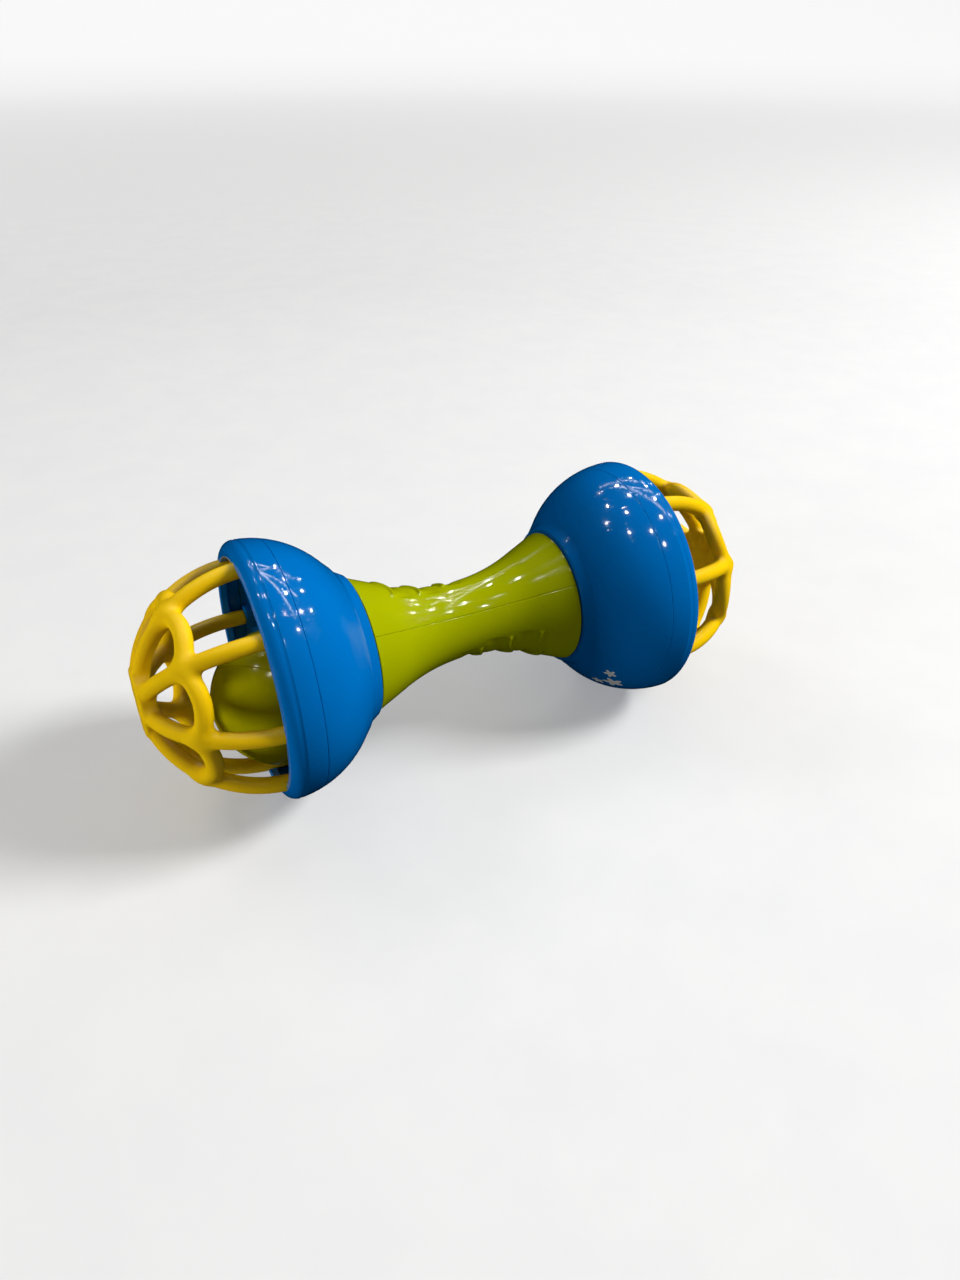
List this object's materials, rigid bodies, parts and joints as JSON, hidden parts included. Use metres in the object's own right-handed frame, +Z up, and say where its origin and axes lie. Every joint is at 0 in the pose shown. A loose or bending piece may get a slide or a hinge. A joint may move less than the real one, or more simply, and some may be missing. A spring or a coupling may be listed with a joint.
{
  "type": "baby rattle",
  "caption": "Dumbbell-shaped rattle: a waisted grip handle with a cup at each end, a loose hollow ball in each cup and a soft domed cage of ribs and petal arches over it.",
  "frame": {"origin": "middle of the rattle, straight under the handle's waist, on the surface that the two rims rest on", "axes": "+X along the rattle's axis, towards the end named right; +Z up from the surface; +Y away from the side on which the handle's seam shows"},
  "size_m": [0.172, 0.068, 0.068],
  "materials": {
    "handle_plastic": "glossy moulded lime green ABS",
    "cup_plastic": "glossy moulded blue ABS",
    "cage_rubber": "satin yellow thermoplastic elastomer",
    "ball_plastic": "glossy moulded olive green plastic",
    "bead_plastic": "small moulded red plastic beads"
  },
  "bodies": {
    "shell": {"handle_shell_upper": "handle_plastic", "handle_shell_lower": "handle_plastic", "left_cup": "cup_plastic", "right_cup": "cup_plastic", "left_rim_ring": "cup_plastic", "right_rim_ring": "cup_plastic", "left_cage": "cage_rubber", "right_cage": "cage_rubber"},
    "left_ball": {"left_ball_front_half": "ball_plastic", "left_ball_back_half": "ball_plastic"},
    "right_ball": {"right_ball_front_half": "ball_plastic", "right_ball_back_half": "ball_plastic"},
    "left_beads": {"left_ball_beads": "bead_plastic"},
    "right_beads": {"right_ball_beads": "bead_plastic"}
  },
  "joints": [
    {"name": "left_ball_travel", "type": "slide", "parent": "shell", "child": "left_ball", "axis": [-0.8244, 0.093, 0.5583], "range_m": [0, 0.015]},
    {"name": "right_ball_travel", "type": "slide", "parent": "shell", "child": "right_ball", "axis": [0.8244, -0.093, 0.5583], "range_m": [0, 0.015]},
    {"name": "left_beads_roll", "type": "hinge", "parent": "left_ball", "child": "left_beads", "pos_m": [-0.0512, -0.0014, 0.0256], "axis": [0, 1, 0], "continuous": true},
    {"name": "right_beads_roll", "type": "hinge", "parent": "right_ball", "child": "right_beads", "pos_m": [0.0512, 0.0014, 0.0256], "axis": [0, 1, 0], "continuous": true}
  ]
}
